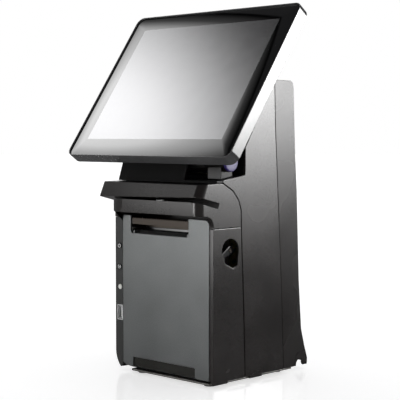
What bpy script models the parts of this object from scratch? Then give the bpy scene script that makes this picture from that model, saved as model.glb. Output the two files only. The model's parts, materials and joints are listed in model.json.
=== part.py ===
"""POS touchscreen terminal: a receipt printer and a card slot in a stand, under a tilting touch screen.

Lengths are millimetres in a working frame, and become metres when a mesh is made. In that frame +X is
the user's right, +Y goes to the back, +Z is up, and Y = 0 is the front face of the printer cover.
The screen's own pieces use (x, depth behind the front face, height above the lower edge).
"""

import math

import bmesh
import bpy

MM = 0.001
GAP = 0.4  # between pieces that meet
MIDDLE_Y = 63.9  # middle of the object's depth, which is Y = 0 in the finished model

# Body
HALF = 77.9  # half of the body's width
TOP = 332.0
WALL = 2.6
INSIDE = HALF - WALL  # inner face of the side walls
COVER_LEFT, COVER_RIGHT = -65.0, 71.5
PAPER_MIDDLE = -5.7  # middle of the 80 mm paper's path
NOTCH = (-51.8, 40.4)  # paper notch in the top of the cover
HOUSING_TOP = 170.7  # seam between the two printer housings
REAR_EDGE = [(158.4, 13), (153.1, 28), (147.3, 48), (142.7, 104.5), (138.2, 208), (134.9, 254)]
REAR_SEAM = [(98.9, TOP), (100.8, 276), (105.3, 204), (112.2, 96), (116.2, 5.5)]
MODULE_SEAM = [(44.2, 189), (40.2, 200), (30.9, 211), (14.8, 219.8)]

# Screen
SCREEN_LEAN = 35.2  # degrees back from upright
SCREEN_W, SCREEN_H, SCREEN_T = 255.8, 201.8, 14.2
SCREEN_FOOT = (-30.6, 248.0)  # lower edge of the front face
LCD_W, LCD_H, LCD_BOTTOM = 211.2, 158.4, 22.8  # lit area of a 10.4 inch panel
BACK_T = 34.0  # depth of the rear cover's flat middle
HINGE = (28.8, 241.8)

# Printer
COVER_PIVOT = (5.0, 14.0)
PLATEN = (11.9, 157.0)
PLATEN_R = 6.0
HEAD_Y = PLATEN[0] + PLATEN_R + 0.5  # face of the thermal head
LATCH = (34.0, 146.0)
MODULE = 0.8  # gear tooth size: pitch diameter over number of teeth
PLATEN_TEETH, IDLER_TEETH, MOTOR_TEETH = 20, 24, 12
GEAR_X = (-61.5, -58.0)
IDLER_DIRECTION, MOTOR_DIRECTION = -50.0, -100.0  # degrees, each from the gear before it
BACKLASH = 0.15

# Front ports
PORT_X = -70.4
POWER_Z, FEED_Z, LENS_Z, USB_Z = 144.2, 120.2, 96.9, 67.4

LOOKS = {  # colour, roughness, metallic
    "body": ((0.075, 0.072, 0.072), 0.5, 0.0),
    "dark": ((0.012, 0.012, 0.013), 0.55, 0.0),
    "gloss": ((0.02, 0.02, 0.025), 0.15, 0.0),
    "cover": ((0.13, 0.135, 0.135), 0.42, 0.3),
    "violet": ((0.07, 0.05, 0.22), 0.3, 0.0),
    "frame": ((0.03, 0.03, 0.032), 0.2, 0.0),
    "glass": ((0.01, 0.01, 0.012), 0.04, 0.0),
    "lcd": ((0.3, 0.31, 0.32), 0.2, 0.0),
    "steel": ((0.55, 0.55, 0.56), 0.3, 1.0),
    "board": ((0.02, 0.13, 0.06), 0.5, 0.0),
    "rubber": ((0.02, 0.02, 0.02), 0.8, 0.0),
    "white": ((0.75, 0.75, 0.72), 0.4, 0.0),
}


# ---------------------------------------------------------------- outlines

def arc(centre, radius, start, end, steps):
    """Points on a circle, from one angle to another in degrees."""
    angles = [math.radians(start + (end - start) * i / steps) for i in range(steps + 1)]
    return [(centre[0] + radius * math.cos(a), centre[1] + radius * math.sin(a)) for a in angles]


def rounded(corners, steps=4):
    """An outline whose corners are (a, b), or (a, b, radius) where the corner is round."""
    points = []
    for i, corner in enumerate(corners):
        if len(corner) == 2:
            points.append(corner)
            continue
        before, after = corners[i - 1], corners[(i + 1) % len(corners)]
        towards = []
        for other in (before, after):
            length = math.hypot(other[0] - corner[0], other[1] - corner[1])
            towards.append(((other[0] - corner[0]) / length, (other[1] - corner[1]) / length))
        (ax, ay), (bx, by) = towards
        half = math.acos(max(-1.0, min(1.0, ax * bx + ay * by))) / 2
        back = corner[2] / math.tan(half)
        start = (corner[0] + ax * back, corner[1] + ay * back)
        end = (corner[0] + bx * back, corner[1] + by * back)
        reach = corner[2] / math.sin(half)
        middle = math.hypot(ax + bx, ay + by)
        centre = (corner[0] + (ax + bx) / middle * reach, corner[1] + (ay + by) / middle * reach)
        first = math.atan2(start[1] - centre[1], start[0] - centre[0])
        turn = math.atan2(end[1] - centre[1], end[0] - centre[0]) - first
        turn = (turn + math.pi) % (2 * math.pi) - math.pi
        points += arc(centre, corner[2], math.degrees(first), math.degrees(first + turn), steps)
    return points


def rectangle(a, b, radius=0.0):
    """A rectangle between two ranges, with round corners if a radius is given."""
    corners = [(a[0], b[0]), (a[1], b[0]), (a[1], b[1]), (a[0], b[1])]
    return rounded([(*corner, radius) for corner in corners]) if radius else corners


def on_circle(centre, radius, degrees):
    """The point of a circle at an angle."""
    angle = math.radians(degrees)
    return (centre[0] + radius * math.cos(angle), centre[1] + radius * math.sin(angle))


def gear_outline(centre, teeth, phase):
    """Teeth with straight flanks, thin enough to run free in their neighbours, one of them at the phase."""
    pitch_r = MODULE * teeth / 2
    root, tip = pitch_r - 1.15 * MODULE, pitch_r + 0.8 * MODULE
    corners = ((root, -0.27), (tip, -0.11), (tip, 0.11), (root, 0.27))
    step = 360 / teeth
    return [on_circle(centre, radius, phase + (i + offset) * step)
            for i in range(teeth) for radius, offset in corners]


# ---------------------------------------------------------------- shapes: (points, faces)

def loft(axis, low_outline, low, high_outline, high):
    """A closed shape between two outlines with as many points. Its ends may be functions of a point."""
    def place(point, level):
        height = level(*point) if callable(level) else level
        return {"X": (height, *point), "Y": (point[0], height, point[1]), "Z": (*point, height)}[axis]

    count = len(low_outline)
    points = [place(p, low) for p in low_outline] + [place(p, high) for p in high_outline]
    sides = [(i, (i + 1) % count, count + (i + 1) % count, count + i) for i in range(count)]
    return points, sides + [tuple(range(count))[::-1], tuple(range(count, 2 * count))]


def prism(axis, outline, low, high):
    """An outline pushed along an axis."""
    return loft(axis, outline, low, outline, high)


def box(x, y, z):
    return prism("Z", rectangle(x, y), *z)


def lathe(axis, centre, profile, sides=24):
    """A shape turned about an axis, from (distance along the axis, radius) pairs with flat ends."""
    points, faces = [], []
    for along, radius in profile:
        ring = [on_circle(centre, radius, 360 * (i + 0.5) / sides) for i in range(sides)]
        points += [{"X": (along, *p), "Y": (p[0], along, p[1]), "Z": (*p, along)}[axis] for p in ring]
    for k in range(len(profile) - 1):
        near, far = k * sides, (k + 1) * sides
        for i in range(sides):
            after = (i + 1) % sides
            faces.append((near + i, near + after, far + after, far + i))
    last = (len(profile) - 1) * sides
    faces += [tuple(range(sides))[::-1], tuple(range(last, last + sides))]
    return points, faces


def rod(axis, centre, radius, low, high, sides=24):
    return lathe(axis, centre, [(low, radius), (high, radius)], sides)


# ---------------------------------------------------------------- objects

def material(look):
    """The material of that look, made the first time it is asked for."""
    if look in bpy.data.materials:
        return bpy.data.materials[look]
    colour, roughness, metallic = LOOKS[look]
    made = bpy.data.materials.new(look)
    made.use_nodes = True
    shader = made.node_tree.nodes["Principled BSDF"]
    shader.inputs["Base Color"].default_value = (*colour, 1)
    shader.inputs["Roughness"].default_value = roughness
    shader.inputs["Metallic"].default_value = metallic
    return made


def mesh_object(name, shape, pivot, parent):
    """An object for one shape, with its origin at the pivot."""
    points, faces = shape
    mesh = bpy.data.meshes.new(name)
    mesh.from_pydata([[(p[k] - pivot[k]) * MM for k in range(3)] for p in points], [], faces)
    bm = bmesh.new()
    bm.from_mesh(mesh)
    bmesh.ops.recalc_face_normals(bm, faces=bm.faces)
    bm.to_mesh(mesh)
    bm.free()
    obj = bpy.data.objects.new(name, mesh)
    bpy.context.scene.collection.objects.link(obj)
    obj.parent = parent
    if parent is None:
        obj.location = row_point(pivot)
    return obj


def row_point(point):
    """A point of the working frame, in the finished model's metres."""
    return (point[0] * MM, (point[1] - MIDDLE_Y) * MM, point[2] * MM)


def add(shape):
    return "UNION", shape


def cut(shape):
    return "DIFFERENCE", shape


def piece(name, look, shape, *steps, pivot=(0, 0, 0), parent=None):
    """One solid sub-part: a shape, with others added to it or cut from it in turn."""
    obj = mesh_object(name, shape, pivot, parent)
    obj.data.materials.append(material(look))
    obj.data.shade_smooth()
    obj.data.set_sharp_from_angle(angle=math.radians(30))
    for i, (operation, tool_shape) in enumerate(steps):
        tool = mesh_object(f"{name}_tool_{i}", tool_shape, pivot, parent)
        tool.hide_render = True
        tool.display_type = "WIRE"
        step = obj.modifiers.new(f"{operation.lower()}_{i}", "BOOLEAN")
        step.operation = operation
        step.object = tool
    return obj


# ---------------------------------------------------------------- base and body shells

def make_base():
    """The plate that everything stands on, with the lip under the printer cover, and its feet."""
    piece("base_plate", "dark", box((-74.6, 74.6), (3, 133.5), (2.6, 4.6)),
          cut(box((-80, -49.2), (-5, 52), (0, 9))),
          add(box((-49.2, 71), (-0.4, 4), (2.6, 4.6))))
    places = {"front_left": (-42, 11), "front_right": (62, 11),
              "rear_left": (-62, 120), "rear_right": (62, 120)}
    for name, place in places.items():
        piece(f"foot_{name}", "rubber", lathe("Z", place, [(0, 5.8), (0.6, 6.5), (2.2, 6.5)], 16))


def lower_corner(inset):
    """The body's round lower left corner, seen from the front, moved inwards."""
    return arc((-51, 24), 26.9 - inset, 180, 227, 5) + [(-60, 7.6 + inset), (-51, 5.6 + inset)]


def make_lower_housing():
    """The printer's open-fronted housing, with a partition for the front ports and a hole for a finger."""
    profile = [(0, 2.8), (50.7, 2.8), (43.8, HOUSING_TOP), (0, HOUSING_TOP)]
    hollow = [(-INSIDE, 180), *lower_corner(WALL), (INSIDE, 5.6 + WALL), (INSIDE, 180)]
    outside = [(-90, 24), *lower_corner(0), (-50, 5.2), (-50, -5), (-90, -5)]
    partition = [(11.8, 8.5), (38, 8.5), (38, 168), (3.1, 168), (3.1, 14), (3.4, 12.9), (11.8, 12.9)]
    finger_hole = [*arc((26.6, 146), 13.3, -12, 168, 9), (13.6, 142.8), (18, 139.6), (18, 133.3),
                   (31.5, 126.6), (38, 130.5)]
    piece("lower_housing", "body", prism("X", profile, -HALF, HALF),
          cut(prism("Y", hollow, -5, 60)),
          cut(prism("Y", outside, -5, 60)),
          cut(box((-49.6, INSIDE), (-5, 60), (-1, 5.2))),
          cut(box((-65.6, INSIDE), (-5, 14.2), (4.9, 12.6))),
          cut(box((-85, -65.2), (-5, 2.9), (-1, 180))),
          cut(box((70, 85), (23, 60), (-1, 5.5))),
          cut(prism("X", finger_hole, 70, 85)),
          add(prism("X", partition, -64.8, -62.8)),
          add(box((COVER_RIGHT + GAP, INSIDE + 1), (0, 2.8), (6.5, HOUSING_TOP))))


def band_corner_left():
    """What the left end's wide round corner takes off the band, seen from above."""
    return [(-90, -40), (-39.9, -40), *arc((-39.9, 14.7), 38, 270, 203, 7), (-90, 0)]


def corner_right(front, radius=9.3):
    """What a round front right corner takes off, seen from above."""
    centre = (HALF - radius, front + radius)
    return [(90, -50), (centre[0], -50), *arc(centre, radius, 270, 360, 5), (90, centre[1])]


def slot_floor(x, y):
    """Height of the card slot's lower face."""
    return 192.5 + (6.2 - y) * 0.254


def make_top_housing():
    """The printer's upper housing, with the lip above the card slot and the band below it."""
    profile = [(0, 171.1), (0, 176.5), (-3, 181.5), (-9, 184.6), (-22.9, 185), (-24, 200.9), (-16.2, 218.3),
               (8, 218.7), (14.3, 218.8), (30.4, 210.3), (39.6, 199.6), (43.3, 189), (43.8, 171.1)]
    cavity = [(13, 184), (13, 215.6), (28, 208), (37, 197.5), (40.6, 188), (41.2, 184)]
    slot = ([(-85, 7, 192.3), (-85, -30, 201.7), (-85, -30, 203.0), (-85, 8, 193.5),
             (85, 7, 192.3), (85, -30, 201.7), (85, -30, 207.4), (85, 8.5, 198.3)],
            [(0, 1, 2, 3), (7, 6, 5, 4), (0, 4, 5, 1), (1, 5, 6, 2), (2, 6, 7, 3), (3, 7, 4, 0)])
    piece("top_housing", "body", prism("X", profile, -HALF, HALF),
          cut(box((COVER_LEFT - GAP, COVER_RIGHT + GAP), (-12, 41.2), (160, 185))),
          cut(box((-INSIDE, -60), (3, 41.2), (160, 184.6))),
          cut(prism("X", cavity, -INSIDE, INSIDE)),
          cut(slot),
          cut(box((-9, 9), (-5.6, 4.6), (194, 212.8))),
          cut(prism("Z", band_corner_left(), 160, lambda x, y: slot_floor(x, y) + 0.6)),
          cut(prism("Z", corner_right(-23.3), 160, 201)),
          cut(loft("Z", corner_right(-25.4), 198, corner_right(-15.0), 221)),
          cut(box((-85, -65), (-5, 2.9), (160, 177.2))))


def make_neck():
    """The dark wall under the screen, which hides the hinge, and the sill that it stands on."""
    sill = [(5, 219.1), (14.5, 219.2), (14.5, 221.8), (5.9, 221.8)]
    wall = [(5, 219.1), (7.4, 219.1), (14.4, 240), (12, 240)]
    piece("neck_cover", "dark", prism("X", sill, -77.6, 77.6), add(prism("X", wall, -77.6, 28)))


def make_tower():
    """The tower's sides and cross ribs, the dark panel on its slope and the floor of the hinge bay."""
    side = [(51.3, 2.8), (50.3, 46.7), (47.5, 113), (44.6, 168), *MODULE_SEAM, (15.1, 222.2), (50.5, 227.3),
            (50.5, 257), (98.5, TOP - 0.4), *[(y - GAP, z) for y, z in REAR_SEAM[1:4]], (115.8, 2.8)]
    inner = HALF - 3
    ribs = [((94, 97.8), (306, 311)), ((93, 97), (214, 220)), ((94, 98), (6, 13))]
    piece("tower_shell", "body", prism("X", side, -HALF, HALF),
          cut(prism("X", rectangle((0, 140), (-10, 340)), -inner, inner)),
          cut(box((-85, 85), (40, 58.6), (-1, 5.5))),
          cut(box((-85, 85), (78.7, 130), (-1, 5.5))),
          *[add(box((-76, 76), y, z)) for y, z in ribs])
    slope = [(51, 228), (51, 256.9), (96.4, 326.3), (98.3, 324.7), (53.5, 256.1), (53.5, 228)]
    piece("slope_panel", "dark", prism("X", slope, -74.5, 74.5))
    floor = [(16, 220.4), (16, 222), (50.4, 227.2), (50.4, 225.2)]
    piece("hinge_bay_floor", "dark", prism("X", floor, -74.5, 74.5))


def make_rear_cover():
    """The shell that closes the tower from behind, with vents above and a bay for the cables below."""
    outer = [*REAR_SEAM, (158.1, 5.5), *REAR_EDGE, (131.7, 325), (130.2, 330), (127, TOP)]
    inner = [(60, -5), (155.6, -5), *[(y - WALL, z) for y, z in REAR_EDGE], (129, 325), (126.5, TOP - WALL),
             (60, TOP - WALL)]
    vents = []
    for row in range(7):
        level = 238 + 9 * row
        vents += [cut(box(x, (120, 150), (level, level + 3.5))) for x in ((-50, -4), (4, 50))]
    piece("rear_cover", "body", prism("X", outer, -HALF, HALF),
          cut(prism("X", inner, -INSIDE, INSIDE)),
          cut(box((-58, 58), (137, 170), (-1, 46))),
          cut(box((-70, 70), (137, 170), (-1, 9))),
          cut(prism("X", [(138.4, -1), (150.4, -1), *arc((144.4, 7), 6, 0, 180, 6)], -85, 85)),
          *vents)


# ---------------------------------------------------------------- hinge

def make_hinge():
    """A shaft through two fixed barrels, each on a saddle in the hinge bay and closed by a coloured cap."""
    piece("hinge_shaft", "steel", rod("X", HINGE, 4, -74, 74))
    saddle = [(20, 223.1), (38, 225.8), (38, 240), (20, 240)]
    for name, side in (("left", -1), ("right", 1)):
        inner, outer = sorted((side * 46, side * 74.2))
        piece(f"hinge_barrel_{name}", "gloss", rod("X", HINGE, 11, inner, outer),
              add(prism("X", saddle, *sorted((side * 50, side * 70)))),
              cut(rod("X", HINGE, 4.4, -90, 90)))
        cap = [(side * 74.6, 10.6), (side * 76.9, 10.6), (side * 77.7, 9.6), (side * 77.8, 4)]
        piece(f"hinge_cap_{name}", "violet", lathe("X", HINGE, sorted(cap)))


# ---------------------------------------------------------------- screen

def screen_pivot():
    """The hinge axis in the screen's own directions: depth, and height above the lower edge."""
    lean = math.radians(SCREEN_LEAN)
    y, z = HINGE[0] - SCREEN_FOOT[0], HINGE[1] - SCREEN_FOOT[1]
    return y * math.cos(lean) - z * math.sin(lean), y * math.sin(lean) + z * math.cos(lean)


def make_screen():
    """The tilting screen, whose pieces hang on an empty at the hinge."""
    tilt = bpy.data.objects.new("screen_tilt_axis", None)
    bpy.context.scene.collection.objects.link(tilt)
    tilt.location = row_point((0, *HINGE))
    tilt.rotation_euler = (-math.radians(SCREEN_LEAN), 0, 0)
    depth, height = screen_pivot()
    half_w = SCREEN_W / 2

    def part(name, look, shape, *steps):
        piece(name, look, shape, *steps, pivot=(0, depth, height), parent=tilt)

    def plate(inset, radius, low, high):
        outline = rectangle((-half_w + inset, half_w - inset), (inset, SCREEN_H - inset), radius)
        return prism("Y", outline, low, high)

    part("screen_frame", "frame", plate(0, 9, 0, SCREEN_T),
         cut(plate(1.0, 8, -1, 2.7)), cut(plate(6, 3, -1, 20)))
    part("touch_glass", "glass", plate(1.4, 7.6, 0.3, 2.3))
    lcd = ((-LCD_W / 2 - 4, LCD_W / 2 + 4), (LCD_BOTTOM - 4, LCD_BOTTOM + LCD_H + 4))
    part("lcd_panel", "lcd", prism("Y", rectangle(*lcd), 3, 8))
    part("lcd_chassis", "steel", prism("Y", rectangle((-118, 118), (10, 192)), 8.4, 9.6))
    part("driver_board", "board", box((-60, 30), (12, 13.6), (60, 120)))

    def dish(inset, low, high):
        edge = inset + 2.4
        base = rectangle((-half_w + edge, half_w - edge), (edge, SCREEN_H - edge), 7)
        flat = rectangle((-92 + inset, 92 - inset), (40 + inset, 158 - inset), 7)
        return loft("Y", base, low, flat, high)

    part("screen_back", "body", dish(0, SCREEN_T + GAP, BACK_T), cut(dish(2.4, SCREEN_T - 1, BACK_T - 2.4)))
    web = [(35, 50), (35, 88), (depth + 4, height + 6), (depth + 4, height - 6), (depth - 4, height - 6)]
    part("hinge_arm", "body", box((-42, 42), (BACK_T + 0.3, BACK_T + 3.5), (44, 104)),
         add(rod("X", (depth, height), 9, -44, 44)),
         add(prism("X", web, -38, -30)), add(prism("X", web, 30, 38)),
         cut(rod("X", (depth, height), 4.5, -90, 90)))


# ---------------------------------------------------------------- front ports

def make_ports():
    """The strip left of the printer cover, with two sprung buttons, a status lens and a USB port."""
    strip = [(-77.7, 24), *lower_corner(0.2), (-65.4, 8.6), (-65.4, 176.8), (-77.7, 176.8)]
    strip = [p for p in strip if p[0] < -65.3]
    piece("port_strip", "body", prism("Y", strip, 0.2, 2.5),
          cut(rod("Y", (PORT_X, POWER_Z), 3.7, -5, 5, 16)), cut(rod("Y", (PORT_X, FEED_Z), 3.7, -5, 5, 16)),
          cut(rod("Y", (PORT_X, LENS_Z), 3.2, -5, 5, 16)),
          cut(box((-73.7, -66.4), (-5, 5), (USB_Z - 7.7, USB_Z + 7.7))))
    for name, z in (("power_button", POWER_Z), ("feed_button", FEED_Z)):
        profile = [(-0.5, 2.6), (0, 3.2), (2.9, 3.2), (2.9, 4.3), (4.0, 4.3), (4.0, 1.5), (9.0, 1.5)]
        piece(name, "gloss", lathe("Y", (PORT_X, z), profile, 16), pivot=(PORT_X, 0, z))
    piece("status_lens", "white", lathe("Y", (PORT_X, LENS_Z), [(0, 2.5), (0.4, 2.9), (3.4, 2.9)], 16))
    piece("button_board", "board", box((-74.4, -66.4), (10.5, 12.1), (86, 152)))
    piece("usb_port", "steel", box((-73.3, -66.8), (0.9, 16), (USB_Z - 7.3, USB_Z + 7.3)),
          cut(box((-72.7, -67.4), (-2, 14), (USB_Z - 6.7, USB_Z + 6.7))),
          add(box((-72.0, -70.2), (3, 15), (USB_Z - 5.3, USB_Z + 5.3))))


# ---------------------------------------------------------------- printer

def make_cover():
    """The printer's front cover, which opens about two pins near the floor and carries the platen."""
    pivot = (0, *COVER_PIVOT)
    left, right = NOTCH
    plate = rounded([(COVER_LEFT, 10.6), (-60, 8.2), (-52, 6.9), (COVER_RIGHT - 0.6, 6.9),
                     (COVER_RIGHT, 180, 6), (right, 180), (right, 160, 3), (left, 160, 3), (left, 180),
                     (COVER_LEFT, 180)], 3)
    steps = [cut(box((-48.4, 50), (-2, 1.7), (0, 18.5)))]
    for side in ((-60, -57), (67, 70)):
        steps += [add(rod("X", COVER_PIVOT, 4.4, *side, 16)), add(box(side, (2, 5), (11, 20)))]
    for side in ((-49.5, -47.3), (35.9, 38.1)):
        steps.append(add(box(side, (2, 16), (149, 163))))
    steps += [cut(rod("X", COVER_PIVOT, 2.4, -60.5, -56.5, 16)),
              cut(rod("X", COVER_PIVOT, 2.4, 66.5, 70.5, 16)),
              cut(rod("X", PLATEN, 2.4, -60, 60, 16))]
    piece("printer_cover", "cover", prism("Y", plate, 0, 2.8), *steps, pivot=pivot)
    for name, span in (("left", (-62.4, -56)), ("right", (66, 75))):
        piece(f"cover_pin_{name}", "steel", rod("X", COVER_PIVOT, 2, *span, 12))
    for name, span in (("left", (-52.6, -49.8)), ("right", (38.4, 41.6))):
        piece(f"platen_bearing_{name}", "steel", rod("X", PLATEN, 4, *span, 16),
              cut(rod("X", PLATEN, 2.4, -60, 60, 16)), pivot=(0, *PLATEN))


def make_platen_drive():
    """The platen roller, and the gears between it and the motor."""
    axis = (0, *PLATEN)
    piece("platen_shaft", "steel", rod("X", PLATEN, 2, -61.8, 44, 16), pivot=axis)
    piece("platen_roller", "rubber", rod("X", PLATEN, PLATEN_R, -45.8, 34.4),
          cut(rod("X", PLATEN, 2.4, -60, 60, 16)), pivot=axis)
    piece("platen_gear", "white", prism("X", gear_outline(PLATEN, PLATEN_TEETH, IDLER_DIRECTION), *GEAR_X),
          cut(rod("X", PLATEN, 2.4, -70, -50, 16)), pivot=axis)
    idler, motor = gear_centres()
    idler_phase = IDLER_DIRECTION + 180 + 180 / IDLER_TEETH
    piece("idler_gear", "white", prism("X", gear_outline(idler, IDLER_TEETH, idler_phase), *GEAR_X),
          cut(rod("X", idler, 1.9, -70, -50, 16)), pivot=(0, *idler))
    nearest = round((MOTOR_DIRECTION - idler_phase) / (360 / IDLER_TEETH))
    missing = MOTOR_DIRECTION - (idler_phase + nearest * 360 / IDLER_TEETH)
    motor_phase = MOTOR_DIRECTION + 180 + 180 / MOTOR_TEETH + missing * IDLER_TEETH / MOTOR_TEETH
    piece("motor_gear", "steel", prism("X", gear_outline(motor, MOTOR_TEETH, motor_phase), *GEAR_X),
          add(rod("X", motor, 1, -60, -54.2, 12)), pivot=(0, *motor))
    piece("stepper_motor", "steel", rod("X", motor, 10.5, -53.6, -34))


def gear_centres():
    """Centres of the idler and the motor gear."""
    reach = MODULE * (PLATEN_TEETH + IDLER_TEETH) / 2 + BACKLASH
    idler = on_circle(PLATEN, reach, IDLER_DIRECTION)
    reach = MODULE * (IDLER_TEETH + MOTOR_TEETH) / 2 + BACKLASH
    return idler, on_circle(idler, reach, MOTOR_DIRECTION)


def make_printer():
    """The frame that holds the thermal head and the motor, the toothed tear bar, and the paper bin."""
    idler, motor = gear_centres()
    left_plate = [(8, 116), (30, 116), (42, 140), (42, 170), (17, 170), (17, 151), (8, 144)]
    right_plate = [(24, 140), (42, 140), (42, 170), (24, 170)]
    piece("printer_frame", "steel", prism("X", left_plate, -56, -54),
          add(prism("X", right_plate, 44.6, 46.6)),
          add(box((-55, 45.6), (38, 42), (158, 170))),
          add(box((-48, 38), (HEAD_Y + 3.3, 40), (167, 170))),
          add(box((-48, 38), (HEAD_Y + 3.3, HEAD_Y + 5.8), (146, 168))),
          add(rod("X", idler, 1.5, -61.8, -55, 12)),
          cut(rod("X", LATCH, 2.5, -90, 90, 16)),
          cut(rod("X", motor, 6, -57, -53, 16)))
    piece("thermal_head", "gloss", box((-46, 34.4), (HEAD_Y, HEAD_Y + 2.9), (148, 166)))
    pitch, count = 3.7, 24
    left, right = PAPER_MIDDLE - pitch * count / 2, PAPER_MIDDLE + pitch * count / 2
    teeth = [(left + pitch * (i / 2), 177.8 if i % 2 else 176.2) for i in range(2 * count + 1)]
    piece("tear_bar", "steel", prism("Y", [(left, 170.3), *teeth, (right, 170.3)], 1.4, 2.6),
          add(box((left, right), (2, 29), (170.3, 171.5))))
    centre, inner, outer = (47, 62), 41, 43
    trough = [*arc(centre, outer, 235, 400, 14), *arc(centre, inner, 400, 235, 14)]
    cheek = arc(centre, outer, 235, 400, 14)
    half = 40.8
    piece("paper_bin", "dark", prism("X", trough, PAPER_MIDDLE - half - 1, PAPER_MIDDLE + half + 1),
          add(prism("X", cheek, PAPER_MIDDLE - half - 2, PAPER_MIDDLE - half)),
          add(prism("X", cheek, PAPER_MIDDLE + half, PAPER_MIDDLE + half + 2)),
          add(box((-30, 20), (38, 56), (8.6, 20.3))))


def make_latch():
    """The lever behind the finger hole. It turns a bar whose two hooks hold the platen's bearings."""
    pivot = (0, *LATCH)
    hook = [(32, 143.8), (36.6, 144.6), (36.8, 149), (21.5, 165.3), (5.2, 165.8), (4.6, 161.8),
            (7.4, 161.8), (8.2, 163), (19.5, 162), (31, 149.5)]
    piece("latch_bar", "steel", rod("X", LATCH, 2, -57, 71.3, 16),
          add(prism("X", hook, -52.4, -50)), add(prism("X", hook, 39, 41.4)), pivot=pivot)
    lever = [(39, 145), (37, 150.4), (33, 150.6), (19.3, 141.4), (17.6, 138.8), (19, 136.8),
             (24, 137.5), (34, 141), (38, 142.5)]
    piece("release_lever", "gloss", prism("X", lever, 66, 71),
          cut(rod("X", LATCH, 2.4, 60, 80, 16)), pivot=pivot)
    make_latch_spring(pivot)


def make_latch_spring(pivot):
    """A torsion spring wound round the latch bar."""
    turns, steps, radius, start, pitch = 4, 12, 3.3, 52.0, 1.6
    curve = bpy.data.curves.new("latch_spring", "CURVE")
    curve.dimensions = "3D"
    curve.bevel_depth = 0.45 * MM
    curve.bevel_resolution = 1
    curve.use_fill_caps = True
    spline = curve.splines.new("POLY")
    spline.points.add(turns * steps)
    for i, point in enumerate(spline.points):
        angle = 2 * math.pi * i / steps
        along = start + pitch * i / steps
        point.co = (along * MM, radius * math.cos(angle) * MM, radius * math.sin(angle) * MM, 1)
    curve.materials.append(material("steel"))
    obj = bpy.data.objects.new("latch_spring", curve)
    obj.location = row_point(pivot)
    bpy.context.scene.collection.objects.link(obj)


def make_card_reader():
    """The magnetic head, which floats on a leaf spring and presses on a card in the slot."""
    piece("reader_head", "steel", box((-6, 6), (-4, 2.6), (197.2, 209)), pivot=(0, 0, 200))
    piece("reader_spring", "steel", box((-8.4, 8.4), (-3, 2), (211.3, 211.9)))


# ---------------------------------------------------------------- electronics

def make_electronics():
    """The boards, drive, speaker and rear connectors inside the tower."""
    piece("mainboard", "board", box((-66, 66), (100, 101.6), (95, 285)))
    fins = [(-25, 105), (-25, 102), (25, 102), (25, 105)]
    for i in range(8):
        x = 23.5 - i * 6.5
        fins += [(x + 1, 105), (x + 1, 115), (x - 1, 115), (x - 1, 105)]
    piece("heat_sink", "steel", prism("Z", fins, 178, 238))
    piece("storage_drive", "steel", box((-60, 10), (91, 98), (112, 208)))
    piece("speaker", "dark", lathe("Y", (38, 270), [(104, 10), (110, 10), (118, 18), (121, 18)]))
    piece("io_board", "board", box((-62, 62), (98, 133.6), (13.6, 15.2)))
    sockets = {"dc_inlet": ((-50, -39), 11), "drawer_port": ((-28, -14), 13),
               "lan_port": ((-2, 14.5), 13.5), "usb_rear_port": ((28, 42.5), 15.6)}
    windows = []
    for name, (span, tall) in sockets.items():
        low, high = 15.6, 15.6 + tall
        windows.append(cut(box((span[0] - GAP, span[1] + GAP), (130, 140), (low - GAP, high + GAP))))
        steps = socket_hollow(name, span, low, high)
        piece(name, "steel", box(span, (118, 136.4), (low, high)), *steps)
    piece("io_plate", "steel", box((-60, 60), (134, 135.2), (9.5, 47.4)), *windows)


def socket_hollow(name, span, low, high):
    """What is cut from a connector's block, and the tongues or pin that stand in the hollow."""
    x0, x1 = span
    middle = ((x0 + x1) / 2, (low + high) / 2)
    if name == "dc_inlet":
        return [cut(rod("Y", middle, 3.2, 124, 140, 16)), add(rod("Y", middle, 1.0, 123, 135, 8))]
    if name == "usb_rear_port":
        steps = []
        for z in (low + 0.9, low + 8.7):
            steps += [cut(box((x0 + 0.9, x1 - 0.9), (122, 140), (z, z + 6))),
                      add(box((x0 + 1.8, x1 - 1.8), (121, 134), (z + 3.4, z + 5.2)))]
        return steps
    return [cut(box((x0 + 1.6, x1 - 1.6), (121, 140), (low + 2.2, high - 1.6)))]


def main():
    for obj in list(bpy.data.objects):
        bpy.data.objects.remove(obj)
    make_base()
    make_lower_housing()
    make_top_housing()
    make_neck()
    make_tower()
    make_rear_cover()
    make_hinge()
    make_screen()
    make_ports()
    make_cover()
    make_platen_drive()
    make_printer()
    make_latch()
    make_card_reader()
    make_electronics()


main()
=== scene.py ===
"""The looks of the POS touchscreen terminal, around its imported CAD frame. Metres, +Z up."""
import json
import math

import bmesh
import bpy
from mathutils import Matrix, Vector

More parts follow.
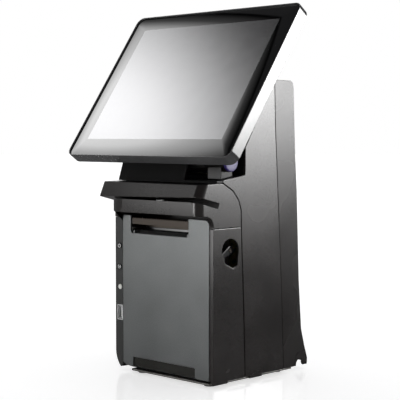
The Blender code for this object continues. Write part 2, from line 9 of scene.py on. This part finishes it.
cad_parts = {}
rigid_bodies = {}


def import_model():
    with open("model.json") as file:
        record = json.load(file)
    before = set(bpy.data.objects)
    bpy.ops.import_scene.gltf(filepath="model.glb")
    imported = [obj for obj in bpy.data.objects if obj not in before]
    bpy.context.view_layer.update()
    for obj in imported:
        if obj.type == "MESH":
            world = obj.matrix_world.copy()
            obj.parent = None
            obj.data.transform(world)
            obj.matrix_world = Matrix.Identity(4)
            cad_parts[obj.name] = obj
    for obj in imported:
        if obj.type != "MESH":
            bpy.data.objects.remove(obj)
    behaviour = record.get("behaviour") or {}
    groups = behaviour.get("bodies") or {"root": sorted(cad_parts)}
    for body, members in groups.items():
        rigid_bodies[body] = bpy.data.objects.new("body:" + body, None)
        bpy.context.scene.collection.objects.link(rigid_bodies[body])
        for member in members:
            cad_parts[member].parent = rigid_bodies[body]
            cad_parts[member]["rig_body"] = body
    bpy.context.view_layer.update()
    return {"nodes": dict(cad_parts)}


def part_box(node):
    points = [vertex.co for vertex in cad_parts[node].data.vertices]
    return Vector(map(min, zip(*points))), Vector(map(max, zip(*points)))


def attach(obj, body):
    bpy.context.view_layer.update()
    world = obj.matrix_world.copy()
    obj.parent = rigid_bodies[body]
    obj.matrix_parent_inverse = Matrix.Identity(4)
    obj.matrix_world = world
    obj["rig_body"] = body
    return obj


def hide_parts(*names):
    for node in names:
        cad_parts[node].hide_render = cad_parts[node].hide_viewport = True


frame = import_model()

# ---------------------------------------------------------------- camera, floor and lights

VIEW_AZIMUTH, VIEW_ELEVATION = math.radians(44.14), math.radians(3.15)
VIEW_DISTANCE, VIEW_LENS, SENSOR = 1.343, 106.1, 36.0
TARGET = Vector((0.0, -0.0041, 0.1968))


def aim(obj, place, target):
    """Puts an object at a place, with its -Z axis towards a target."""
    obj.location = place
    obj.rotation_euler = (Vector(target) - Vector(place)).to_track_quat("-Z", "Y").to_euler()


def make_camera():
    """The camera, at its viewing angle."""
    data = bpy.data.cameras.new("camera")
    data.lens, data.sensor_width = VIEW_LENS, SENSOR
    camera = bpy.data.objects.new("camera", data)
    bpy.context.scene.collection.objects.link(camera)
    away = Vector((math.sin(VIEW_AZIMUTH) * math.cos(VIEW_ELEVATION),
                   -math.cos(VIEW_AZIMUTH) * math.cos(VIEW_ELEVATION), math.sin(VIEW_ELEVATION)))
    aim(camera, TARGET + away * VIEW_DISTANCE, TARGET)
    bpy.context.scene.camera = camera


def area_light(name, place, target, size, power):
    """A soft rectangular studio light, which the camera doesn't see itself."""
    data = bpy.data.lights.new(name, "AREA")
    data.shape, data.size, data.size_y, data.energy = "RECTANGLE", size[0], size[1], power
    light = bpy.data.objects.new(name, data)
    bpy.context.scene.collection.objects.link(light)
    light.visible_camera = False
    aim(light, place, target)


# (distance from a soft lamp's middle, brightness there)
LAMP_FADE = [(0.0, 1.0), (0.12, 0.95), (0.2, 0.62), (0.27, 0.42), (0.33, 0.18), (0.38, 0.05), (0.48, 0.0)]


def soft_lamp(name, place, target, centre, strength, spread=1.0):
    """A round lamp, brightest in the middle, that shows only in reflections and lights nothing else.

    It stands at a place facing a target, then moves by centre across and up its own face.
    """
    bm = bmesh.new()
    bmesh.ops.create_circle(bm, cap_ends=True, segments=48, radius=0.5 * spread)
    mesh = bpy.data.meshes.new(name)
    bm.to_mesh(mesh)
    bm.free()
    lamp = bpy.data.objects.new(name, mesh)
    bpy.context.scene.collection.objects.link(lamp)
    lamp.visible_camera = False
    lamp.visible_diffuse = False
    away = (Vector(place) - Vector(target)).normalized()
    across = Vector((0, 0, 1)).cross(away).normalized()
    up = away.cross(across)
    lamp.matrix_world = Matrix.Translation(Vector(place) + across * centre[0] + up * centre[1]) @ \
        Matrix((across, up, away)).transposed().to_4x4()
    glow = bpy.data.materials.new(name)
    glow.use_nodes = True
    tree = glow.node_tree
    tree.nodes.clear()
    coords = tree.nodes.new("ShaderNodeTexCoord").outputs["Object"]
    length = tree.nodes.new("ShaderNodeVectorMath")
    length.operation = "LENGTH"
    tree.links.new(coords, length.inputs[0])
    fade = tree.nodes.new("ShaderNodeValToRGB")
    elements = fade.color_ramp.elements
    while len(elements) < len(LAMP_FADE):
        elements.new(0.5)
    for element, (at, value) in zip(elements, LAMP_FADE):
        element.position = at * spread
        element.color = (value, value, value, 1)
    tree.links.new(length.outputs["Value"], fade.inputs["Fac"])
    emission = tree.nodes.new("ShaderNodeEmission")
    emission.inputs["Strength"].default_value = strength
    tree.links.new(fade.outputs["Color"], emission.inputs["Color"])
    output = tree.nodes.new("ShaderNodeOutputMaterial")
    tree.links.new(emission.outputs[0], output.inputs["Surface"])
    mesh.materials.append(glow)


def make_studio():
    """The pale floor, the sky and the lamps. Reflections see a darker floor than the camera does."""
    floor_mesh = bpy.data.meshes.new("floor")
    reach = 12.0
    corners = [(-reach, -reach, 0), (reach, -reach, 0), (reach, reach, 0), (-reach, reach, 0)]
    floor_mesh.from_pydata(corners, [], [(0, 1, 2, 3)])
    floor = bpy.data.objects.new("floor", floor_mesh)
    bpy.context.scene.collection.objects.link(floor)
    paint = bpy.data.materials.new("floor_white")
    paint.use_nodes = True
    shader = paint.node_tree.nodes["Principled BSDF"]
    shader.inputs["Roughness"].default_value = 0.16
    shader.inputs["Emission Color"].default_value = (1, 1, 1, 1)
    nodes, links = paint.node_tree.nodes, paint.node_tree.links
    ray = nodes.new("ShaderNodeLightPath")
    for socket, direct, reflected in (("Base Color", 0.9, 0.3), ("Emission Strength", 0.62, 0.06),
                                      ("Specular IOR Level", 0.5, 0.0)):
        level = nodes.new("ShaderNodeMapRange")
        level.inputs["To Min"].default_value = direct
        level.inputs["To Max"].default_value = reflected
        links.new(ray.outputs["Is Glossy Ray"], level.inputs["Value"])
        links.new(level.outputs["Result"], shader.inputs[socket])
    floor_mesh.materials.append(paint)

    world = bpy.data.worlds.new("studio")
    bpy.context.scene.world = world
    world.use_nodes = True
    tree = world.node_tree
    background = tree.nodes["Background"]
    path = tree.nodes.new("ShaderNodeLightPath")
    coords = tree.nodes.new("ShaderNodeTexCoord").outputs["Generated"]
    height = tree.nodes.new("ShaderNodeSeparateXYZ")
    tree.links.new(coords, height.inputs[0])
    sky = ramp(tree, height.outputs["Z"], [(0.08, (0.95, 0.95, 0.95)), (0.3, (0.14, 0.14, 0.145))])
    mix = tree.nodes.new("ShaderNodeMix")
    mix.data_type = "RGBA"
    tree.links.new(sky, mix.inputs["A"])
    mix.inputs["B"].default_value = (1.0, 1.0, 1.0, 1)
    tree.links.new(path.outputs["Is Camera Ray"], mix.inputs["Factor"])
    tree.links.new(mix.outputs["Result"], background.inputs["Color"])
    bpy.context.scene.view_settings.view_transform = "Standard"

    soft_lamp("screen_lamp", (-1.062, -0.328, 1.348), (0.0, -0.07, 0.33), (0.02, -0.2), 8.8)
    soft_lamp("side_lamp", (1.12, 1.07, 0.55), (0.078, 0.0, 0.28), (0, 0), 45, 1.2)
    soft_lamp("front_lamp", (-0.70, -1.08, 0.14), (0.03, -0.06, 0.11), (0, 0), 14, 0.85)
    soft_lamp("corner_lamp", (-0.12, -1.35, 0.13), (0.07, -0.08, 0.2), (0, 0), 40, 0.45)
    soft_lamp("lip_lamp", (-0.95, -0.82, 0.92), (0.0, -0.08, 0.21), (0, 0), 4, 0.45)
    area_light("top_box", (0.0, 0.0, 2.2), (0, 0, 0), (2.0, 2.0), 14)


# ---------------------------------------------------------------- materials

def node_material(name):
    """(material, its node tree, its Principled shader, object coordinates in metres)."""
    made = bpy.data.materials.new(name)
    made.use_nodes = True
    tree = made.node_tree
    coords = tree.nodes.new("ShaderNodeTexCoord").outputs["Object"]
    return made, tree, tree.nodes["Principled BSDF"], coords


def noise(tree, coords, scale, detail=3.0, stretch=(1, 1, 1)):
    """A noise pattern with that many features to the metre."""
    mapping = tree.nodes.new("ShaderNodeMapping")
    mapping.inputs["Scale"].default_value = stretch
    tree.links.new(coords, mapping.inputs["Vector"])
    pattern = tree.nodes.new("ShaderNodeTexNoise")
    pattern.inputs["Scale"].default_value = scale
    pattern.inputs["Detail"].default_value = detail
    tree.links.new(mapping.outputs["Vector"], pattern.inputs["Vector"])
    return pattern.outputs["Fac"]


def ramp(tree, factor, stops):
    """Colours along a factor, from (place, colour) pairs."""
    node = tree.nodes.new("ShaderNodeValToRGB")
    elements = node.color_ramp.elements
    while len(elements) < len(stops):
        elements.new(0.5)
    for element, (place, colour) in zip(elements, stops):
        element.position = place
        element.color = (*colour, 1)
    tree.links.new(factor, node.inputs["Fac"])
    return node.outputs["Color"]


def spread(tree, factor, low, high):
    """A factor of about 0.3 to 0.7 spread over another range."""
    node = tree.nodes.new("ShaderNodeMapRange")
    for key, value in (("From Min", 0.3), ("From Max", 0.7), ("To Min", low), ("To Max", high)):
        node.inputs[key].default_value = value
    tree.links.new(factor, node.inputs["Value"])
    return node.outputs["Result"]


def bumps(tree, shader, height, depth):
    """Relief of that depth, in metres, from a height pattern."""
    node = tree.nodes.new("ShaderNodeBump")
    node.inputs["Distance"].default_value = depth
    node.inputs["Strength"].default_value = 1.0
    tree.links.new(height, node.inputs["Height"])
    tree.links.new(node.outputs["Normal"], shader.inputs["Normal"])


def plastic(name, colour, roughness, grain=1400, depth=0.00003, vary=0.12, metallic=0.0, specular=0.5):
    """Moulded plastic: a fine spark-eroded grain, with slow changes of tone and gloss."""
    made, tree, shader, coords = node_material(name)
    tone = noise(tree, coords, 14, 2)
    speck = noise(tree, coords, grain * 0.7, 2)
    mixed = tree.nodes.new("ShaderNodeMath")
    mixed.operation = "MULTIPLY_ADD"
    mixed.inputs[1].default_value = 0.5
    tree.links.new(speck, mixed.inputs[0])
    half = tree.nodes.new("ShaderNodeMath")
    half.operation = "MULTIPLY"
    half.inputs[1].default_value = 0.5
    tree.links.new(tone, half.inputs[0])
    tree.links.new(half.outputs[0], mixed.inputs[2])
    stops = [(0.3, tuple(c * (1 - vary) for c in colour)), (0.7, tuple(c * (1 + vary) for c in colour))]
    tree.links.new(ramp(tree, mixed.outputs[0], stops), shader.inputs["Base Color"])
    tree.links.new(spread(tree, tone, roughness - 0.03, roughness + 0.03), shader.inputs["Roughness"])
    shader.inputs["Metallic"].default_value = metallic
    shader.inputs["Specular IOR Level"].default_value = specular
    bumps(tree, shader, noise(tree, coords, grain, 3), depth)
    return made


def metal(name, colour, roughness, stretch=(1, 30, 30)):
    """Brushed metal, its lines along one axis."""
    made, tree, shader, coords = node_material(name)
    lines = noise(tree, coords, 120, 4, stretch)
    stops = [(0.3, tuple(c * 0.85 for c in colour)), (0.7, colour)]
    tree.links.new(ramp(tree, lines, stops), shader.inputs["Base Color"])
    tree.links.new(spread(tree, lines, roughness - 0.06, roughness + 0.08), shader.inputs["Roughness"])
    shader.inputs["Metallic"].default_value = 1.0
    bumps(tree, shader, lines, 0.00002)
    return made


def glossy(name, colour, roughness, metallic=0.0):
    """A polished surface with the faint waviness and dust of a real one."""
    made, tree, shader, coords = node_material(name)
    haze = noise(tree, coords, 60, 4)
    stops = [(0.3, tuple(c * 0.92 for c in colour)), (0.7, colour)]
    tree.links.new(ramp(tree, haze, stops), shader.inputs["Base Color"])
    tree.links.new(spread(tree, haze, roughness, roughness + 0.02), shader.inputs["Roughness"])
    shader.inputs["Metallic"].default_value = metallic
    bumps(tree, shader, noise(tree, coords, 25, 1), 0.000004)
    return made


def circuit_board(name):
    """A green board with lighter tracks in a grid of cells."""
    made, tree, shader, coords = node_material(name)
    cells = tree.nodes.new("ShaderNodeTexVoronoi")
    cells.distance = "MANHATTAN"
    cells.inputs["Scale"].default_value = 180
    tree.links.new(coords, cells.inputs["Vector"])
    stops = [(0.0, (0.03, 0.16, 0.07)), (0.45, (0.015, 0.09, 0.04)), (0.6, (0.3, 0.28, 0.12))]
    tree.links.new(ramp(tree, cells.outputs["Distance"], stops), shader.inputs["Base Color"])
    shader.inputs["Roughness"].default_value = 0.35
    bumps(tree, shader, cells.outputs["Distance"], 0.0001)
    return made


BODY = plastic("body_plastic", (0.014, 0.0115, 0.0108), 0.25, depth=0.00001, vary=0.3, specular=0.27)
REAR = plastic("rear_plastic", (0.014, 0.0118, 0.0112), 0.27, depth=0.00001, vary=0.3, specular=0.2)
COVER = plastic("cover_plastic", (0.078, 0.082, 0.0825), 0.36, grain=1500, depth=0.00006, vary=0.3,
                metallic=0.45)
# the grip recess's darker colour is painted shade; its smoother gloss is the plastic's own
RECESS_PAINTED_SHADE = plastic("recess_painted_shade", (0.014, 0.0135, 0.011), 0.25, specular=0.3)
BASE = plastic("base_plastic", (0.11, 0.105, 0.095), 0.25)
STRIP = plastic("strip_plastic", (0.016, 0.016, 0.0155), 0.5, specular=0.25)
DARK = plastic("dark_plastic", (0.004, 0.004, 0.004), 0.45, specular=0.12)
SCREEN_EDGE = plastic("screen_edge", (0.05, 0.05, 0.051), 0.14, grain=300, depth=0.000004, specular=0.3)
SCREEN_BACK = plastic("screen_back_plastic", (0.014, 0.0135, 0.0135), 0.4)
BLACK_GLOSS = glossy("black_gloss", (0.006, 0.006, 0.007), 0.12)
VIOLET = plastic("violet_cap_plastic", (0.03, 0.021, 0.11), 0.35, specular=0.3)
GLASS_BLACK = glossy("glass_border", (0.001, 0.001, 0.0012), 0.05)
LCD_SURFACE = glossy("lcd_surface", (0.13, 0.13, 0.132), 0.21, metallic=1.0)
STEEL = metal("brushed_steel", (0.6, 0.6, 0.61), 0.3)
DARK_STEEL = metal("dark_steel", (0.035, 0.03, 0.026), 0.42)
BARREL = plastic("barrel_plastic", (0.006, 0.0055, 0.005), 0.3, specular=0.15)
ALUMINIUM = metal("aluminium", (0.75, 0.75, 0.77), 0.35, (30, 30, 1))
BOARD = circuit_board("circuit_board")
RUBBER = plastic("rubber", (0.012, 0.012, 0.012), 0.75, grain=900, depth=0.00006)
WHITE = plastic("white_plastic", (0.72, 0.72, 0.68), 0.4, vary=0.04)
PRINT = plastic("symbol_print", (0.6, 0.6, 0.6), 0.5, vary=0.03)


# ---------------------------------------------------------------- pieces

MM = 0.001
LEAN = math.radians(35.2)  # of the screen at rest, back from upright
SCREEN_WIDTH, SCREEN_HEIGHT = 0.2558, 0.2018
LIT_WIDTH, LIT_HEIGHT, LIT_BOTTOM = 0.2112, 0.1584, 0.0228
WELD, SLIVER = 0.02 * MM, 0.005 * MM
FLAT_WITHIN = math.radians(0.4)  # faces this near to one plane are joined
SMOOTH_BELOW, ROUND_OVER = math.radians(32), math.radians(34)
RECESS_DEPTH, RECESS_TOP = 1.2 * MM, 13 * MM  # of the grip recess at the foot of the printer's cover
PRINT_PROUD, PRINT_SUNK = 0.05, 0.1  # millimetres of a printed mark in front of and behind its surface
RING_STEPS = 24


def add_piece(name, bm, materials, body, replaced=()):
    """Turns a bmesh into a piece on a body, smooth except where its faces meet sharply."""
    for face in bm.faces:
        face.smooth = True
    for edge in bm.edges:
        edge.smooth = len(edge.link_faces) == 2 and edge.calc_face_angle() < SMOOTH_BELOW
    mesh = bpy.data.meshes.new(name)
    bm.to_mesh(mesh)
    bm.free()
    for material in materials:
        mesh.materials.append(material)
    obj = bpy.data.objects.new(name, mesh)
    bpy.context.scene.collection.objects.link(obj)
    weighted = obj.modifiers.new("weighted", "WEIGHTED_NORMAL")
    weighted.keep_sharp = True
    weighted.weight = 90
    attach(obj, body)
    if replaced:
        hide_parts(*replaced)


def cad_shape(node):
    """A CAD node's shape with its flat faces whole again."""
    source = frame["nodes"][node].data
    bm = bmesh.new()
    verts = [bm.verts.new(v.co) for v in source.vertices]
    for polygon in source.polygons:
        bm.faces.new([verts[i] for i in polygon.vertices])
    bmesh.ops.remove_doubles(bm, verts=bm.verts, dist=WELD)
    bmesh.ops.dissolve_limit(bm, angle_limit=FLAT_WITHIN, verts=bm.verts, edges=bm.edges)
    return bm


def round_edges(bm, width):
    """Rounds the edges that stand out."""
    edges = [e for e in bm.edges if len(e.link_faces) == 2 and e.calc_face_angle_signed() > ROUND_OVER
             and e.calc_length() > width]
    bmesh.ops.bevel(bm, geom=edges, offset=width, offset_type="OFFSET", segments=2,
                    profile=0.5, affect="EDGES", clamp_overlap=False, miter_outer="SHARP")
    bmesh.ops.dissolve_degenerate(bm, dist=SLIVER, edges=bm.edges)


def soften(node, width, material):
    """Stands in for a CAD node, with rounded edges as moulding or stamping leaves them."""
    bm = cad_shape(node)
    round_edges(bm, width)
    body = frame["nodes"][node]["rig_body"]
    add_piece(f"{node}_shape", bm, [material], body, [node])


def make_printer_cover():
    """The printer's cover, its grip recess smoother and in a darker colour that is painted shade."""
    bm = cad_shape("printer_cover")
    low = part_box("printer_cover")[0]
    for face in bm.faces:
        middle = face.calc_center_median()
        # the grip recess faces get the darker colour, painted shade
        if face.normal.y < -0.9 and middle.y > low.y + RECESS_DEPTH and middle.z < low.z + RECESS_TOP:
            face.material_index = 1
    round_edges(bm, 0.6 * MM)
    add_piece("printer_cover_shape", bm, [COVER, RECESS_PAINTED_SHADE], "cover", ["printer_cover"])


def add_ring(bm, centre, radius, thickness, start, end):
    """A flat printed arc on the front, facing -Y, from a start to an end angle in degrees from the top."""
    points = []
    for i in range(RING_STEPS + 1):
        angle = math.radians(start + (end - start) * i / RING_STEPS)
        points.append((math.sin(angle), math.cos(angle)))
    front = [[bm.verts.new((centre.x + k * u, centre.y - PRINT_PROUD * MM, centre.z + k * w))
              for u, w in points] for k in (radius - thickness, radius)]
    back = [[bm.verts.new((v.co.x, centre.y + PRINT_SUNK * MM, v.co.z)) for v in loop] for loop in front]
    for i in range(RING_STEPS):
        bm.faces.new((front[0][i], front[1][i], front[1][i + 1], front[0][i + 1]))
        bm.faces.new((back[0][i + 1], back[1][i + 1], back[1][i], back[0][i]))
        bm.faces.new((front[0][i + 1], back[0][i + 1], back[0][i], front[0][i]))
        bm.faces.new((front[1][i], back[1][i], back[1][i + 1], front[1][i + 1]))
    for i in (0, RING_STEPS):
        bm.faces.new((front[0][i], front[1][i], back[1][i], back[0][i]))


def add_bar(bm, face, corner, other):
    """A printed bar on the front, between two corners given in millimetres from a centre."""
    corners = [(face.x + x * MM, face.y + y * MM, face.z + z * MM)
               for x in (corner[0], other[0]) for y in (-PRINT_PROUD, PRINT_SUNK)
               for z in (corner[1], other[1])]
    verts = [bm.verts.new(place) for place in corners]
    for loop in ((0, 1, 3, 2), (4, 6, 7, 5), (0, 4, 5, 1), (2, 3, 7, 6), (0, 2, 6, 4), (1, 5, 7, 3)):
        bm.faces.new([verts[i] for i in loop])


def make_symbols():
    """Generic printed marks: a power sign, a feed sign and an outline round the port."""
    for node, body in (("power_button", "power_key"), ("feed_button", "feed_key")):
        low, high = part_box(node)
        face = Vector(((low.x + high.x) / 2, low.y, (low.z + high.z) / 2))
        bm = bmesh.new()
        add_ring(bm, face, 2.3 * MM, 0.7 * MM, 30, 330)
        if body == "power_key":
            add_bar(bm, face, (-0.3, 0.4), (0.3, 2.5))
        else:
            add_bar(bm, face, (-0.9, -0.4), (0.9, 0.4))
        add_symbol(bm, f"{body}_mark", body)
    low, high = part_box("usb_port")
    face = Vector(((low.x + high.x) / 2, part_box("port_strip")[0].y, (low.z + high.z) / 2))
    bm = bmesh.new()
    for corner, other in (((-4.4, -8.6), (4.4, -7.9)), ((-4.4, 7.9), (4.4, 8.6)),
                          ((-4.5, -7.8), (-3.8, 7.8)), ((3.9, -7.8), (4.5, 7.8))):
        add_bar(bm, face, corner, other)
    add_symbol(bm, "port_outline", "stand")


def add_symbol(bm, name, body):
    """Turns printed bars and rings into a piece on a body."""
    bmesh.ops.recalc_face_normals(bm, faces=bm.faces)
    add_piece(name, bm, [PRINT], body)


def finish_nodes(materials):
    """Gives the CAD nodes that stay their materials."""
    for node, material in materials.items():
        mesh = frame["nodes"][node].data
        mesh.materials.clear()
        mesh.materials.append(material)


def screen_frame_axes():
    """(middle of the lower front edge, up along the screen, depth into the screen) of the display."""
    low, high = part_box("screen_frame")
    up = Vector((0, math.sin(LEAN), math.cos(LEAN)))
    into = Vector((0, math.cos(LEAN), -math.sin(LEAN)))
    foot = Vector((0, low.y, high.z - SCREEN_HEIGHT * math.cos(LEAN)))
    return foot, up, into


def make_screen_glass():
    """The touch glass: the window over the panel, a black border that falls away from it, and a rim."""
    foot, up, into = screen_frame_axes()
    half = SCREEN_WIDTH / 2
    x0, x1, z0, z1 = -LIT_WIDTH / 2, LIT_WIDTH / 2, LIT_BOTTOM, LIT_BOTTOM + LIT_HEIGHT
    bm = bmesh.new()

    def ring(inset, radius, depth, corners=6):
        loop = []
        for sx, sz, start in ((1, 1, 0), (-1, 1, 90), (-1, -1, 180), (1, -1, 270)):
            cx = sx * (half - inset - radius)
            cz = SCREEN_HEIGHT / 2 + sz * (SCREEN_HEIGHT / 2 - inset - radius)
            for i in range(corners + 1):
                angle = math.radians(start + 90 * i / corners)
                x, z = cx + radius * math.cos(angle), cz + radius * math.sin(angle)
                loop.append(bm.verts.new(foot + Vector((x, 0, 0)) + up * z + into * depth))
        return loop

    def window_ring(depth):
        return [bm.verts.new(foot + Vector((x, 0, 0)) + up * z + into * depth)
                for x, z in ((x1, z1), (x0, z1), (x0, z0), (x1, z0))]

    back = ring(1.4 * MM, 7.6 * MM, 2.3 * MM)
    rim = ring(1.4 * MM, 7.6 * MM, 1.95 * MM)
    edge = ring(1.9 * MM, 7.1 * MM, 1.75 * MM)
    pane = window_ring(0.35 * MM)
    steps = len(edge) // 4
    bm.faces.new(back[::-1])
    bm.faces.new(pane).material_index = 1
    for outer, inner in ((back, rim), (rim, edge)):
        for i in range(len(outer)):
            k = (i + 1) % len(outer)
            bm.faces.new((outer[i], outer[k], inner[k], inner[i]))
    for corner in range(4):
        for i in range(steps - 1):
            k = corner * steps + i
            bm.faces.new((edge[k], edge[k + 1], pane[corner]))
        k = (corner + 1) * steps - 1
        after = (corner + 1) % 4
        bm.faces.new((edge[k], edge[(k + 1) % len(edge)], pane[after], pane[corner]))
    bmesh.ops.recalc_face_normals(bm, faces=bm.faces)
    add_piece("touch_glass_shape", bm, [GLASS_BLACK, LCD_SURFACE], "screen", ["touch_glass"])


# CAD nodes that a piece with rounded edges stands in for: (rounding in mm, material, slot)
SOFT = {
    "lower_housing": (0.7, BODY, "body_plastic"), "top_housing": (0.6, BODY, "body_plastic"),
    "tower_shell": (0.6, BODY, "body_plastic"), "rear_cover": (0.6, REAR, "body_plastic"),
    "port_strip": (0.3, STRIP, "body_plastic"),
    "screen_frame": (0.35, SCREEN_EDGE, "screen_edge"), "screen_back": (0.8, SCREEN_BACK, "body_plastic"),
    "neck_cover": (0.3, DARK, "dark_plastic"), "base_plate": (0.4, BASE, "dark_plastic"),
    "hinge_barrel_left": (0.6, BARREL, "gloss_black"),
    "hinge_barrel_right": (0.6, BARREL, "gloss_black"),
    "hinge_cap_left": (0.3, VIOLET, "violet_cap"), "hinge_cap_right": (0.3, VIOLET, "violet_cap"),
    "hinge_arm": (0.4, SCREEN_BACK, "body_plastic"), "release_lever": (0.5, BLACK_GLOSS, "gloss_black"),
    "power_button": (0.25, BLACK_GLOSS, "gloss_black"), "feed_button": (0.25, BLACK_GLOSS, "gloss_black"),
    "slope_panel": (0.3, DARK, "dark_plastic"),
}
# CAD nodes that stay as they are, and their materials
KEPT = {
    **dict.fromkeys(["foot_front_left", "foot_front_right", "foot_rear_left", "foot_rear_right",
                     "platen_roller"], RUBBER),
    **dict.fromkeys(["hinge_shaft", "latch_spring", "platen_shaft", "platen_bearing_left",
                     "platen_bearing_right", "cover_pin_left", "cover_pin_right", "motor_gear",
                     "stepper_motor", "usb_port", "reader_head",
                     "reader_spring", "storage_drive", "lcd_chassis", "io_plate", "lan_port",
                     "drawer_port", "dc_inlet", "usb_rear_port"], STEEL),
    **dict.fromkeys(["platen_gear", "idler_gear", "status_lens"], WHITE),
    **dict.fromkeys(["mainboard", "io_board", "button_board", "driver_board"], BOARD),
    **dict.fromkeys(["hinge_bay_floor", "paper_bin", "speaker"], DARK),
    **dict.fromkeys(["tear_bar", "printer_frame", "latch_bar"], DARK_STEEL),
    "thermal_head": BLACK_GLOSS, "heat_sink": ALUMINIUM, "lcd_panel": LCD_SURFACE,
}


make_camera()
make_studio()
for node, (width, material, slot) in SOFT.items():
    soften(node, width * MM, material)
make_screen_glass()
make_printer_cover()
make_symbols()
finish_nodes(KEPT)
